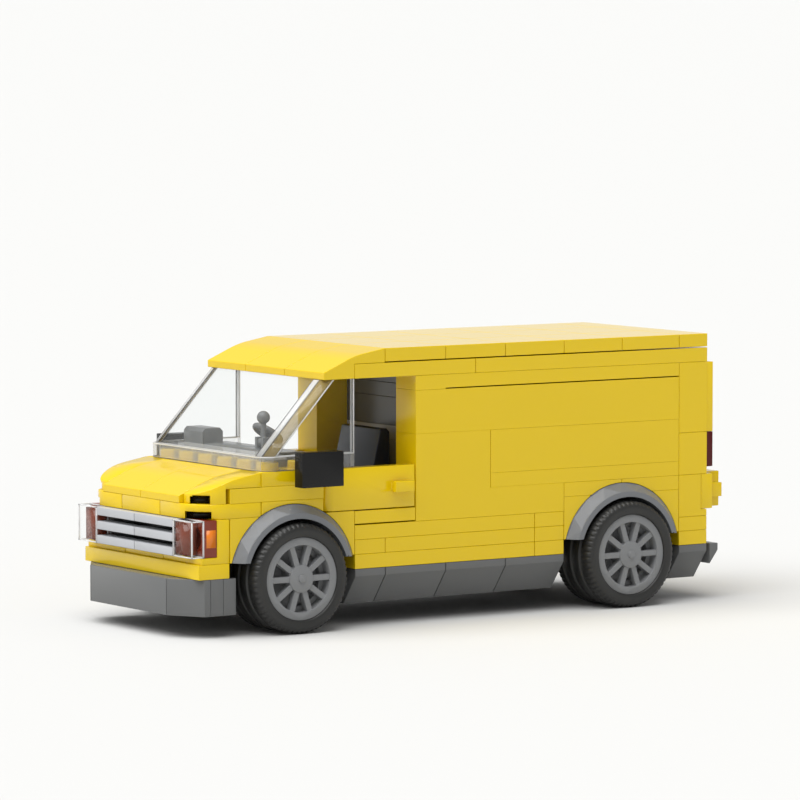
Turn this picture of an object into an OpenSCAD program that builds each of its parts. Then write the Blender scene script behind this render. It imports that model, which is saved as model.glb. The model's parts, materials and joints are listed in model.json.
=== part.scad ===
/* [Building system] */
// Distance from one stud to the next
pitch = 8; // [7.6:0.1:9.6]
// Height of one plate, a third of a brick
plate = 3.2; // [3:0.1:4]
// Gap left on every side of a piece, so that neighbours never rub
gap = 0.1; // [0.05:0.01:0.15]
// Radius of a stud
stud_r = 2.4; // [2.3:0.05:2.5]
// Height of a stud
stud_h = 1.7; // [1.5:0.1:1.8]
// Thickness of a piece's side walls
wall = 1.4; // [1.2:0.05:1.4]
// Thickness of a piece's top
deck = 1.2; // [1:0.1:1.3]

/* [Body] */
// Length of the body in studs
van_studs = 17; // [17:1:21]
// Half the width of the body in studs
half_studs = 3; // [3:1:5]
// Height of the body above its yellow bottom edge, in plates
van_plates = 15; // [15:1:19]
// Ground to the yellow bottom edge
ride_height = 12.8; // [12:0.1:14]
// Thickness of a curved roof or bonnet piece at its thin lip
lip = 1.6; // [1.2:0.1:2]

/* [Wheels] */
// Outer radius of the tyre
tyre_r = 12; // [11:0.1:12.4]
// Width of the tyre
tyre_w = 14; // [12:0.5:14]
// Radius where the tyre seats on the rim
rim_r = 9; // [8:0.1:9.6]
// How far the tyre stands out of the body side
tyre_out = 4; // [3.5:0.1:5]
// Radius of the axle pin
pin_r = 1.95; // [1.8:0.05:2]
// Radial clearance between a pin and the piece that turns on it
run_gap = 0.05; // [0.02:0.01:0.1]
// Number of wheel spokes
spokes = 10; // [5:1:14]
// Width of one spoke
spoke_w = 1.3; // [0.8:0.1:1.6]

/* [Arches] */
// Outer radius of a wheel arch
arch_r = 15.9; // [15:0.1:16]
// Inner radius of a wheel arch
arch_in_r = 12.9; // [12.6:0.1:13.6]
// How far an arch stands out of the body side
arch_proud = 2.4; // [1.5:0.1:3]

/* [Doors and mirrors] */
// Thickness of the cab door panel
door_t = 3; // [2.4:0.1:3.4]
// Radius of the cab door's hinge knuckle
door_knuckle_r = 2.5; // [2.2:0.1:2.6]
// Radius of a cab door hinge pin
door_pin_r = 1; // [0.8:0.05:1.2]
// Thickness of a rear door
rear_door_t = 3; // [2.4:0.1:3.2]
// Radius of a rear door hinge pin
rear_pin_r = 0.75; // [0.6:0.05:0.9]
// Width of a mirror housing
mirror_w = 10.6; // [8:0.1:11]
// Height of a mirror housing
mirror_h = 7.6; // [6:0.1:9]
// Thickness of a mirror housing
mirror_t = 3.2; // [2.6:0.1:3.6]

/* [Hidden] */
$fn = 48;
eps = 0.01;

// Colours of the plastics
yellow = [0.93, 0.77, 0.08];
dark_grey = [0.36, 0.37, 0.38];
arch_grey = [0.42, 0.44, 0.46];
light_grey = [0.72, 0.73, 0.74];
black = [0.07, 0.07, 0.07];
navy = [0.08, 0.1, 0.15];
clear = [0.9, 0.95, 1, 0.35];
orange = [0.85, 0.35, 0.1, 0.6];
dark_red = [0.4, 0.08, 0.07];

// Studs from the front of the nose to the front axle, and from the rear face to the rear axle
front_overhang = 3;
rear_axle_stud = 3;
// How far the bumper and the rear step reach past the first and the last stud
bumper_proud = plate;
step_out = 2 * plate;
// The origin is below the middle of the whole van, so the rear face sits at this Y
rear_y = van_studs * pitch / 2 + (bumper_proud - step_out) / 2;
front_stud = van_studs;
// Studs along the body, counted from the rear face
cab_rear = front_stud - 7;
door_front = front_stud - 4;
glass_rear = front_stud - 5;
hood_rear = front_stud - 2;
corner_stud = front_stud - 1;
front_axle_stud = front_stud - front_overhang;
axle_z = tyre_r;
// Height of one stud-side face of a piece built sideways
side_h = min(pitch, 3 * plate - 0.3);
// Plates above the yellow bottom edge
window_sill = 7;
roof_base = van_plates - 2;
// Bottom of the row of pieces that hang sideways under the body
skirt_z = ride_height - side_h;
tube_r = 3.2;
tube_in_r = 2.4;
post_r = 1.5;

// Y of a place counted in studs from the rear face
function ys(s) = rear_y - pitch * s;
// Z of a place counted in plates above the yellow bottom edge
function zs(p) = ride_height + plate * p;
// X of a place counted in studs from the centre plane
function xs(x) = pitch * x;

// The side wall is one stud thick, from this column out to the body side
in_stud = half_studs - 1;
side_x = xs(half_studs);
track_half = side_x + tyre_out;
// Studs where the rear wheel opening begins and ends
arch_rear = rear_axle_stud - 2;
arch_front = rear_axle_stud + 2;

// The same piece on the left and on the right
module both_sides() {
  children();
  mirror([1, 0, 0]) children();
}

// A plain block between stud and plate limits, with the gap left all round its sides
module block(x0, x1, s0, s1, p0, p1) {
  translate([xs(x0) + gap, ys(s1) + gap, zs(p0)])
    cube([xs(x1 - x0) - 2 * gap, pitch * (s1 - s0) - 2 * gap, plate * (p1 - p0)]);
}

// Studs on top of a block, one on every whole cell
module stud_field(x0, x1, s0, s1, p1) {
  for (x = [x0 : 1 : x1 - 1], s = [s0 : 1 : s1 - 1])
    translate([xs(x + 0.5), ys(s + 0.5), zs(p1) - eps]) cylinder(r = stud_r, h = stud_h + eps, $fn = 24);
}

// The hollow under a brick or plate
module hollow(x0, x1, s0, s1, p0, p1) {
  translate([xs(x0) + gap + wall, ys(s1) + gap + wall, zs(p0) - 1])
    cube([xs(x1 - x0) - 2 * gap - 2 * wall, pitch * (s1 - s0) - 2 * gap - 2 * wall,
          plate * (p1 - p0) - deck + 1]);
}

// Tubes in a wide piece, or posts in a narrow one, that grip the studs below
module grips(x0, x1, s0, s1, p0, p1) {
  h = plate * (p1 - p0) - deck / 2;
  if (x1 - x0 >= 2 && s1 - s0 >= 2)
    for (x = [x0 + 1 : 1 : x1 - 1], s = [ceil(s0 + 0.6) : 1 : s1 - 0.6])
      translate([xs(x), ys(s), zs(p0)]) difference() {
        cylinder(r = tube_r, h = h, $fn = 24);
        translate([0, 0, -1]) cylinder(r = tube_in_r, h = h - deck / 2 + 1, $fn = 24);
      }
  else if (x1 - x0 < 2 && s1 - s0 >= 2)
    for (s = [ceil(s0 + 0.6) : 1 : s1 - 0.6])
      translate([xs((x0 + x1) / 2), ys(s), zs(p0)]) cylinder(r = post_r, h = h, $fn = 16);
  else if (x1 - x0 >= 2)
    for (x = [x0 + 1 : 1 : x1 - 1])
      translate([xs(x), ys((s0 + s1) / 2), zs(p0)]) cylinder(r = post_r, h = h, $fn = 16);
}

// A brick or plate: hollow below, with its grips, and studs on top unless it is a tile
module brick(x0, x1, s0, s1, p0, p1, studs = true) {
  difference() {
    block(x0, x1, s0, s1, p0, p1);
    hollow(x0, x1, s0, s1, p0, p1);
  }
  grips(x0, x1, s0, s1, p0, p1);
  if (studs) stud_field(x0, x1, s0, s1, p1);
}

// A piece built sideways, facing front or rear: x range in studs, y range and z range in mm
module slab(x0, x1, y0, y1, z0, z1) {
  translate([xs(x0) + gap, y0, z0]) cube([xs(x1 - x0) - 2 * gap, y1 - y0, z1 - z0]);
}

// A curved slope's top: a steep run from its lip, a bend, and a gentle run to its high end
slope_run = 2 * pitch;
slope_rise = 2 * plate - lip;
bend_at = 0.5 * slope_run;
bend_z = lip + 0.71 * slope_rise;
bend_reach = 0.3;
// A point of the bend: from the steep run over to the gentle one as t goes from 0 to 1
function bend(t) = let (
    a = [bend_at * (1 - bend_reach), lip + (bend_z - lip) * (1 - bend_reach)],
    b = [bend_at, bend_z],
    c = [bend_at + (slope_run - bend_at) * bend_reach, bend_z + (2 * plate - bend_z) * bend_reach])
  (1 - t) * (1 - t) * a + 2 * t * (1 - t) * b + t * t * c;
// Side outline of a curved slope: along the run from its lip, and up from its base
module slope_outline() {
  polygon(concat(
    [[0, 0], [0, lip]],
    [for (i = [0 : 6]) bend(i / 6)],
    [[slope_run, 2 * plate], [slope_run, 0]]));
}

// A curved slope with its lip at stud s_lip and base at plate p, between two x limits
module curved_slope(x0, x1, s_lip, p) {
  difference() {
    translate([xs(x0) + gap, ys(s_lip) + gap, zs(p)]) rotate([90, 0, 90])
      linear_extrude(xs(x1 - x0) - 2 * gap)
        scale([(slope_run - 2 * gap) / slope_run, 1]) slope_outline();
    translate([xs(x0) + gap + wall, ys(s_lip) + gap + wall, zs(p) - 1])
      cube([xs(x1 - x0) - 2 * gap - 2 * wall, slope_run - 2 * gap - 2 * wall, 1 + stud_h + 0.2]);
  }
}

// Wheel -------------------------------------------------------------------------------------

// Places a wheel part built along +X from the wheel's inner face, at an axle stud
module at_wheel(s, side) {
  translate([side * (track_half - tyre_w), ys(s), axle_z]) rotate([0, side * 90, 0]) children();
}

rim_lip = 0.6;
rim_wall = 1.7;
hub_r = 3;
spoke_t = 1.7;
nub_r = 0.85;
web_t = 2;
rim_end = tyre_w - 0.5;
pin_reach = tyre_w - 4;

// Rim: barrel, stepped inner ring, web, spokes, and a hub with a blind bore for the axle pin
module rim(s, side) {
  color(arch_grey) at_wheel(s, side) difference() {
    union() {
      rotate_extrude() polygon([
        [rim_r - rim_wall, rim_lip], [rim_r, rim_lip], [rim_r, rim_end],
        [rim_r - rim_wall, rim_end]]);
      rotate_extrude() polygon([
        [rim_r - rim_wall - 1.1, rim_end - 6], [rim_r - rim_wall + eps, rim_end - 6],
        [rim_r - rim_wall + eps, rim_end - 2.6], [rim_r - rim_wall - 1.1, rim_end - 2.6]]);
      translate([0, 0, rim_lip]) cylinder(r = hub_r, h = rim_end - rim_lip);
      translate([0, 0, rim_end - 6]) cylinder(r = rim_r - rim_wall + eps, h = web_t);
      translate([0, 0, rim_end - eps]) cylinder(r = nub_r, h = 0.4 + eps, $fn = 24);
      for (i = [0 : spokes - 1]) rotate([0, 0, 90 + 360 / spokes * i])
        translate([hub_r - 0.5, -spoke_w / 2, rim_end - 0.3 - spoke_t])
          cube([rim_r - rim_wall - hub_r + 1, spoke_w, spoke_t]);
    }
    translate([0, 0, -1]) cylinder(r = pin_r + run_gap, h = pin_reach + 1 + 0.4);
  }
}

groove = 0.9;
shoulder = 1.1;
// Tyre: round shoulders and three grooves round the tread
module tyre(s, side) {
  color(black) at_wheel(s, side) rotate_extrude() polygon([
    [rim_r, 0.4], [rim_r + 0.6, 0], [tyre_r - shoulder, 0], [tyre_r, shoulder],
    [tyre_r, 3.4], [tyre_r - groove, 3.6], [tyre_r - groove, 4.2], [tyre_r, 4.4],
    [tyre_r, 6.5], [tyre_r - groove, 6.7], [tyre_r - groove, 7.3], [tyre_r, 7.5],
    [tyre_r, tyre_w - 4.4], [tyre_r - groove, tyre_w - 4.2], [tyre_r - groove, tyre_w - 3.6],
    [tyre_r, tyre_w - 3.4], [tyre_r, tyre_w - shoulder], [tyre_r - shoulder, tyre_w],
    [rim_r + 0.6, tyre_w], [rim_r, tyre_w - 0.4]]);
}

// Chassis -----------------------------------------------------------------------------------

// Black chassis plates: a narrow spine between the wheels and wide decks elsewhere
module chassis_frame() {
  color(black) {
    brick(-1, 1, 1, arch_front, 0, 1);
    brick(-in_stud, in_stud, arch_front, glass_rear, 0, 1);
    brick(-1, 1, glass_rear, corner_stud, 0, 1);
  }
}

carrier_h = 3.2;
carrier_half = pitch - gap / 2;
boss_x = carrier_half - eps;
// Black carrier under the spine with one pin for each wheel of an axle
module axle_carrier(s) {
  color(black) {
    translate([-carrier_half, ys(s + 1) + gap, ride_height - carrier_h])
      cube([2 * carrier_half, 2 * pitch - 2 * gap, carrier_h]);
    for (side = [-1, 1]) translate([side * boss_x, ys(s), axle_z]) rotate([0, side * 90, 0]) {
      cylinder(r = pin_r, h = track_half - tyre_w + pin_reach - boss_x);
      cylinder(r = pin_r + 0.9, h = track_half - tyre_w + rim_lip - 0.3 - boss_x);
    }
  }
}

// Cuts a wheel opening across one body side
module wheel_cut(s, r) {
  translate([xs(1), ys(s), axle_z]) rotate([0, 90, 0]) cylinder(r = r, h = side_x, $fn = 96);
}

// Ring of a wheel arch in side view, kept above the height where the arch ends
module arch_ring(r_in, r_out, x0, x1, z_end) {
  intersection() {
    translate([x0, 0, 0]) rotate([0, 90, 0]) difference() {
      cylinder(r = r_out, h = x1 - x0, $fn = 96);
      translate([0, 0, -1]) cylinder(r = r_in, h = x1 - x0 + 2, $fn = 96);
    }
    translate([x0 - 1, -r_out - 1, z_end]) cube([x1 - x0 + 2, 2 * r_out + 2, r_out + 30]);
  }
}

arch_bevel = 1.7;
arch_end = ride_height + plate - axle_z;
// Grey wheel arch: fills the round opening and stands out with a bevelled outer edge
module wheel_arch(s) {
  color(arch_grey) translate([0, ys(s), axle_z]) {
    arch_ring(arch_in_r, arch_r, xs(in_stud) + gap, side_x, arch_end);
    intersection() {
      translate([side_x - eps, 0, 0]) rotate([0, 90, 0]) difference() {
        cylinder(r1 = arch_r, r2 = arch_r - arch_bevel, h = arch_proud + eps, $fn = 96);
        translate([0, 0, -1]) cylinder(r = arch_in_r, h = arch_proud + 2, $fn = 96);
      }
      translate([xs(in_stud), -arch_r - 1, arch_end]) cube([pitch * 2, 2 * arch_r + 2, arch_r + 30]);
    }
  }
}

module front_arches() { both_sides() wheel_arch(front_axle_stud); }
module rear_arches() { both_sides() wheel_arch(rear_axle_stud); }

liner_t = 1.2;
liner_r = arch_r - 0.6;
liner_in = 9.6;
// Black tunnel inside each arch, closed towards the spine, with a hole for the axle pin
module well_liner(s) {
  color(black) translate([0, ys(s), axle_z]) {
    arch_ring(liner_r - liner_t, liner_r, liner_in + liner_t - eps, xs(in_stud), arch_end);
    arch_ring(pin_r + 2, liner_r, liner_in, liner_in + liner_t, arch_end);
  }
}
module wheel_well_liners() {
  both_sides() {
    well_liner(front_axle_stud);
    well_liner(rear_axle_stud);
  }
}

// Skirts and bumpers ------------------------------------------------------------------------

slope_thin = 1.6;
// Outline of a 30 degree slope that hangs sideways: outward from its back, and down from its top
module hanging_outline() {
  polygon([[0, 0], [2 * plate, 0], [2 * plate, -slope_thin],
           [slope_thin, -side_h], [0, -side_h]]);
}
// A hanging slope along the body side between two stud places
module skirt_slope(s0, s1) {
  translate([side_x - 2 * plate, ys(s0) - gap, ride_height - 0.05])
    rotate([90, 0, 0]) linear_extrude(pitch * (s1 - s0) - 2 * gap) hanging_outline();
}
module side_skirt_slopes() {
  color(dark_grey) both_sides() {
    for (s = [arch_front : 2 : glass_rear - 1]) skirt_slope(s, min(s + 2, glass_rear));
    skirt_slope(0, arch_rear);
  }
}

bracket_x = side_x - 2 * plate;
// Black strips under the body that the hanging pieces clip to
module skirt_brackets() {
  color(black) {
    both_sides() {
      translate([bracket_x - 3.2, ys(glass_rear) + gap, skirt_z + 1])
        cube([3.2, pitch * (glass_rear - arch_front) - 2 * gap, side_h - 1]);
      translate([bracket_x - 3.2, ys(1) + gap, skirt_z + 1]) cube([3.2, pitch - 4, side_h - 1]);
    }
    slab(-1.8, 1.8, ys(1) + gap, ys(0) - plate - 0.05, skirt_z + 1, ride_height - 0.05);
    slab(-1, 1, bumper_back + 2 * plate, bumper_back + 3 * plate, skirt_z + 1, ride_height - 0.05);
  }
}

bumper_back = ys(corner_stud) - 4.8;
// Two dark grey layers that stand upright behind the bumper's face
module front_bumper_plates() {
  color(dark_grey) for (i = [0, 1])
    slab(-half_studs, half_studs, bumper_back + plate * i, bumper_back + plate * (i + 1) - 0.05,
         skirt_z, ride_height - 0.05);
}
// Flat middle of the bumper
module front_bumper_face() {
  color(dark_grey)
    slab(-in_stud, in_stud, bumper_back - 2 * plate, bumper_back - 0.05, skirt_z, ride_height - 0.05);
}
// Sloped end of the bumper, thin at the outer side
module front_bumper_corners() {
  color(dark_grey) both_sides() translate([0, 0, skirt_z]) linear_extrude(side_h - 0.05) polygon([
    [xs(in_stud) + gap, bumper_back - 0.05], [xs(in_stud) + gap, bumper_back - 2 * plate],
    [side_x - gap, bumper_back - slope_thin], [side_x - gap, bumper_back - 0.05]]);
}
// Dark grey slopes that hang across the rear, notched at each side for the skirt's end
module rear_bumper_slopes() {
  color(dark_grey) difference() {
    for (x = [-half_studs : 2 : half_studs - 2]) translate([xs(x) + gap, ys(0) - plate, ride_height - 0.05])
      rotate([90, 0, 90]) linear_extrude(2 * pitch - 2 * gap) hanging_outline();
    both_sides() translate([bracket_x - gap, ys(0) - pitch, skirt_z - 1])
      cube([pitch, pitch + 0.9, side_h + 2]);
  }
}

// Front -------------------------------------------------------------------------------------

module front_sill_plate() {
  color(yellow) brick(-half_studs, half_studs, corner_stud, front_stud, 0, 1, studs = false);
}

shelf_back = 0.9;
face_y = ys(corner_stud) - plate;
face_z = zs(4) - side_h - 0.1;
// Yellow brackets: a thin shelf on the sill and an upright that the lights clip to
module front_brackets() {
  color(yellow) for (x = [-half_studs : 2 : half_studs - 2]) {
    slab(x, x + 2, ys(front_stud) + shelf_back, ys(corner_stud) - gap, zs(1), face_z - 0.05);
    slab(x, x + 2, face_y, ys(corner_stud) - gap, zs(1), zs(4) - 0.05);
  }
}

lens_front = face_y - 2 * plate;
slot_h = 1.3;
bar_h = (side_h - 2 * slot_h) / 3;
slot_depth = 2 * plate - 1.4;
// Two grey grille tiles, each with two slots right across it between three bars
module grille_tiles() {
  color(light_grey) for (x = [-in_stud : 2 : in_stud - 2]) difference() {
    slab(x, x + 2, lens_front, face_y - 0.05, face_z, face_z + side_h);
    for (i = [0, 1])
      translate([xs(x) - 1, lens_front - 1, face_z + bar_h + i * (slot_h + bar_h)])
        cube([2 * pitch + 2, slot_depth + 1, slot_h]);
  }
}
// Orange plate behind each headlight lens
module lamp_plates() {
  color(orange) both_sides() difference() {
    slab(in_stud, half_studs, face_y - plate, face_y - 0.05, face_z, face_z + side_h);
    translate([xs(half_studs - 0.5), face_y - plate - 1, face_z + side_h / 2]) rotate([-90, 0, 0])
      cylinder(r = stud_r, h = 2, $fn = 32);
  }
}
// Clear headlight lens, hollow behind
module headlight_lenses() {
  color(clear) both_sides() difference() {
    slab(in_stud, half_studs, lens_front, face_y - plate - 0.05, face_z, face_z + side_h);
    translate([xs(in_stud) + gap + 1.2, lens_front + 1.2, face_z + 1.2])
      cube([pitch - 2 * gap - 2.4, plate, side_h - 2.4]);
  }
}

// Yellow row over the grille: a middle plate and two plates with round corners
module bonnet_base_plates() {
  color(yellow) {
    brick(-in_stud + 1, in_stud - 1, hood_rear, front_stud, 4, 5);
    both_sides() difference() {
      intersection() {
        block(in_stud - 1, half_studs, hood_rear, front_stud, 4, 5);
        union() {
          translate([xs(in_stud), ys(corner_stud), zs(4)]) cylinder(r = pitch - gap, h = plate, $fn = 64);
          translate([xs(in_stud - 1), ys(front_stud), zs(4)]) cube([pitch, 2 * pitch, plate]);
          translate([xs(in_stud - 1), ys(corner_stud), zs(4)]) cube([2 * pitch, pitch, plate]);
        }
      }
      translate([xs(in_stud - 1) + gap + wall, ys(corner_stud) + wall, zs(4) - 1])
        cube([2 * pitch - 2 * gap - 2 * wall, pitch - 2 * gap - 2 * wall, plate - deck + 1]);
      corner_slot(4, pitch + 2);
      wheel_cut(front_axle_stud, arch_r + gap);
    }
    both_sides() difference() {
      block(in_stud, half_studs, door_front, hood_rear, 4, 5);
      wheel_cut(front_axle_stud, arch_r + gap);
    }
  }
}

// Slot low in a rounded front corner piece, cut across the corner
module corner_slot(p, w) {
  translate([xs(in_stud), ys(corner_stud), zs(p) - 1]) rotate([0, 0, -45])
    translate([pitch - 2.2, -w / 2 + 1, 0]) cube([pitch, w - 4, plate / 2 + 1]);
}

// Two curved slopes in the middle of the bonnet
module bonnet_slopes() {
  color(yellow) for (x = [-in_stud : 2 : in_stud - 2]) curved_slope(x, x + 2, front_stud, 5);
}
corner_r = 6.9;
// Curved slope at each side of the bonnet, rounded in plan at the front corner
module bonnet_corner_slopes() {
  color(yellow) both_sides() difference() {
    intersection() {
      curved_slope(in_stud, half_studs, front_stud, 5);
      union() {
        translate([side_x - gap - corner_r, ys(corner_stud), zs(4)])
          cylinder(r = corner_r, h = pitch * 2, $fn = 64);
        translate([xs(in_stud), ys(corner_stud), zs(4)]) cube([pitch, pitch * 2, pitch * 2]);
      }
    }
    translate([xs(in_stud) - 1, ys(corner_stud) - 0.9, zs(5) - 1])
      cube([pitch + 2, pitch + 2, plate + 1 + 0.05]);
    corner_slot(5, pitch);
  }
}

// Side rows and cowl ------------------------------------------------------------------------

// Yellow bricks round each front wheel opening
module front_arch_bricks() {
  color(yellow) both_sides() {
    difference() {
      brick(in_stud, half_studs, glass_rear, corner_stud, 1, 4, studs = false);
      wheel_cut(front_axle_stud, arch_r + gap);
    }
    brick(in_stud, half_studs, door_front, corner_stud, 5, 6, studs = false);
  }
}

// Yellow plates under the cab door and ahead of the rear arch, with a tile under the door
module side_sill_plates() {
  color(yellow) both_sides() {
    brick(in_stud, half_studs, arch_front, arch_front + 1, 0, 1);
    brick(in_stud, half_studs, arch_front + 1, glass_rear, 0, 1);
    brick(in_stud, half_studs, arch_front, arch_front + 1, 1, 2);
    brick(in_stud, half_studs, arch_front + 1, glass_rear - 1, 1, 2);
    brick(in_stud, half_studs, glass_rear - 1, glass_rear, 1, 2);
    brick(in_stud, half_studs, arch_front, arch_front + 1, 2, 3);
    brick(in_stud, half_studs, arch_front + 1, glass_rear, 2, 3);
    translate([0, 0, 0.25]) block(in_stud, half_studs, cab_rear, glass_rear, 3, 4 - 0.1);
  }
}

// Yellow plates across the van under the windscreen
module cowl_plates() {
  color(yellow) {
    brick(-1, 1, door_front, hood_rear, 4, 5);
    brick(-in_stud, in_stud, door_front, hood_rear, 5, 6);
    brick(-half_studs, 0, door_front, hood_rear, 6, window_sill);
    brick(0, half_studs, door_front, hood_rear, 6, window_sill);
  }
}

// Interior ----------------------------------------------------------------------------------

// Dark grey pieces that carry the nose and the cab floor
module cab_floor() {
  color(dark_grey) {
    brick(-1, 1, glass_rear, hood_rear, 1, 2);
    brick(-in_stud, in_stud, cab_rear - 1, glass_rear, 1, 2, studs = false);
    brick(-1, 1, hood_rear, corner_stud, 1, 4);
    brick(-1, 1, door_front, hood_rear, 2, 4);
  }
}

// Smooth grey floor of the cargo bay
module cargo_floor() {
  color(light_grey) {
    brick(-1, 1, 2, arch_front, 1, 2, studs = false);
    brick(-in_stud, in_stud, arch_front, cab_rear - 1, 1, 2, studs = false);
  }
}

dash_z = zs(window_sill + 1);
column_x = 0;
column_y = ys(hood_rear - 1.86);
column_tilt = 35;
column_r = 0.8;
column_l = 3.4;
ring_r = 3.1;
ring_t = 0.7;
lever_x = 5.8;
lever_y = ys(door_front + 0.5);
lever_pivot = 1.5;
lever_pin_r = 0.55;
lever_l = 5.4;
box_x = -20.5;
box_l = 8;
box_y = ys(hood_rear - 0.95);
// Dark grey dash plate with a rounded cluster box, a steering column and a lever fork
module dashboard() {
  color(dark_grey) {
    brick(-in_stud, in_stud, door_front, hood_rear - 1, window_sill, window_sill + 1, studs = false);
    translate([box_x, box_y, dash_z - 1]) cube([box_l, 5.4, 1]);
    translate([box_x, box_y, dash_z - eps]) rotate([90, 0, 90]) linear_extrude(box_l)
      polygon([[0, 0], [5.4, 0], [5.4, 2.6], [4.6, 3.4], [0.8, 3.4], [0, 2.6]]);
    translate([column_x, column_y, dash_z]) rotate([-column_tilt, 0, 0])
      translate([0, 0, -1]) cylinder(r = column_r, h = column_l + 1, $fn = 24);
    for (side = [-1, 1]) difference() {
      translate([lever_x + side * 1.3 - 0.4, lever_y - 1.2, dash_z - eps]) cube([0.8, 2.4, 2.6]);
      translate([lever_x - 4, lever_y, dash_z + lever_pivot]) rotate([0, 90, 0])
        cylinder(r = lever_pin_r + run_gap, h = 8, $fn = 24);
    }
  }
}

// Steering wheel on the column: rim, three spokes and a hub with a blind bore
module steering_wheel() {
  color(dark_grey) translate([column_x, column_y, dash_z]) rotate([-column_tilt, 0, 0])
    translate([0, 0, column_l - 1]) difference() {
      union() {
        cylinder(r = 1.4, h = 1.8, $fn = 32);
        translate([0, 0, 1]) rotate_extrude() translate([ring_r, 0]) circle(r = ring_t, $fn = 20);
        for (a = [-30, 90, 210]) rotate([0, 0, a]) translate([1, -0.5, 0.6]) cube([ring_r - 1, 1, 0.8]);
      }
      translate([0, 0, -1]) cylinder(r = column_r + run_gap, h = 2.1, $fn = 24);
    }
}

// Short lever with a ball knob, held by a cross pin in the fork
module control_lever() {
  color(dark_grey) translate([lever_x, lever_y, dash_z + lever_pivot]) {
    rotate([0, 90, 0]) translate([0, 0, -1.7]) cylinder(r = lever_pin_r, h = 3.4, $fn = 24);
    rotate([0, 90, 0]) translate([0, 0, -0.8]) cylinder(r = 1.1, h = 1.6, $fn = 24);
    cylinder(r = 0.6, h = lever_l, $fn = 24);
    translate([0, 0, lever_l]) sphere(r = 1.45, $fn = 32);
  }
}

seat_half = pitch - gap;
seat_rear = cab_rear - 0.5;
// One moulded seat on the centre line, with a reclined back
module seat() {
  color(navy) translate([-seat_half, ys(seat_rear), zs(2)]) rotate([90, 0, 90])
    linear_extrude(2 * seat_half)
      polygon([[-15.6, 0], [-15.6, 7.6], [-14.4, 8.6], [-6, 8],
               [-2.6, 22.2], [-1, 22.4], [-0.2, 21.6], [0, 0]]);
}

bulkhead_rear = cab_rear - 2;
bulkhead_front = cab_rear - 1;
// Bricks and plates that close the cargo bay behind the seat
module bulkhead_bricks() {
  color(dark_grey) {
    brick(-in_stud, in_stud, bulkhead_rear, bulkhead_front, 9, roof_base - 2);
    brick(-in_stud, in_stud, bulkhead_rear, bulkhead_front, roof_base - 2, roof_base - 1);
    brick(-in_stud, in_stud, bulkhead_rear, bulkhead_front, roof_base - 1, roof_base);
  }
}
// Lighter bricks under them, down to the floor
module bulkhead_base() {
  color(light_grey) {
    brick(-in_stud, in_stud, bulkhead_rear, bulkhead_front, 2, 5);
    brick(-in_stud, in_stud, bulkhead_rear, bulkhead_front, 5, 8);
    brick(-in_stud, in_stud, bulkhead_rear, bulkhead_front, 8, 9);
  }
}

// Windscreen --------------------------------------------------------------------------------

glass_t = 1.2;
glass_top = plate * (roof_base - window_sill - 1);
glass_foot = pitch * (front_stud - 2.1 - glass_rear);
glass_head = pitch * (door_front + 0.05 - glass_rear);
glass_corner = 3.6;
// Side outline of the glass box: forward from its rear edge, and up from its base
module glass_outline(t) {
  polygon([[-1 + (t == 0 ? 1 : 0), t == 0 ? 0 : -1],
           [glass_foot - 1.25 * t, t == 0 ? 0 : -1],
           [glass_foot - 1.25 * t, 0],
           [glass_head - 1.25 * t, glass_top - t],
           [-1 + (t == 0 ? 1 : 0), glass_top - t]]);
}
// Clear windscreen: a slanted front and two side windows on a hollow plate-high base
module windscreen() {
  w = side_x - gap;
  y_rear = ys(glass_rear) - gap;
  base_l = pitch * (hood_rear - glass_rear) - 2 * gap;
  color(clear) {
    difference() {
      union() {
        translate([-w, y_rear - base_l + glass_corner, zs(window_sill)])
          cube([2 * w, base_l - glass_corner, plate]);
        translate([-w + glass_corner, y_rear - base_l, zs(window_sill)])
          cube([2 * w - 2 * glass_corner, base_l, plate]);
        for (side = [-1, 1])
          translate([side * (w - glass_corner), y_rear - base_l + glass_corner, zs(window_sill)])
            cylinder(r = glass_corner, h = plate);
      }
      translate([-w + wall, y_rear - base_l + wall, zs(window_sill) - 1])
        cube([2 * w - 2 * wall, pitch - wall, plate - 0.9 + 1]);
      translate([-w + wall, y_rear - base_l + pitch - 0.6, zs(window_sill) - 1])
        cube([2 * w - 2 * wall, base_l, plate + 2]);
    }
    for (x = [-in_stud : in_stud]) translate([xs(x), ys(hood_rear - 0.5), zs(window_sill)])
      cylinder(r = post_r, h = plate - 0.5, $fn = 16);
    difference() {
      translate([-w, y_rear, dash_z - eps]) rotate([90, 0, 90]) mirror([1, 0, 0])
        linear_extrude(2 * w) glass_outline(0);
      translate([-w + glass_t, y_rear, dash_z - eps]) rotate([90, 0, 90]) mirror([1, 0, 0])
        linear_extrude(2 * w - 2 * glass_t) glass_outline(glass_t);
    }
  }
}

// Cab doors ---------------------------------------------------------------------------------

door_low = zs(4) + 0.15;
door_high = zs(window_sill) - 0.25;
hinge_x = side_x - gap - door_knuckle_r;
hinge_y = ys(door_front) + 0.15 + door_knuckle_r;
door_end = ys(cab_rear) - 0.25;
handle_l = 5;
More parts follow.
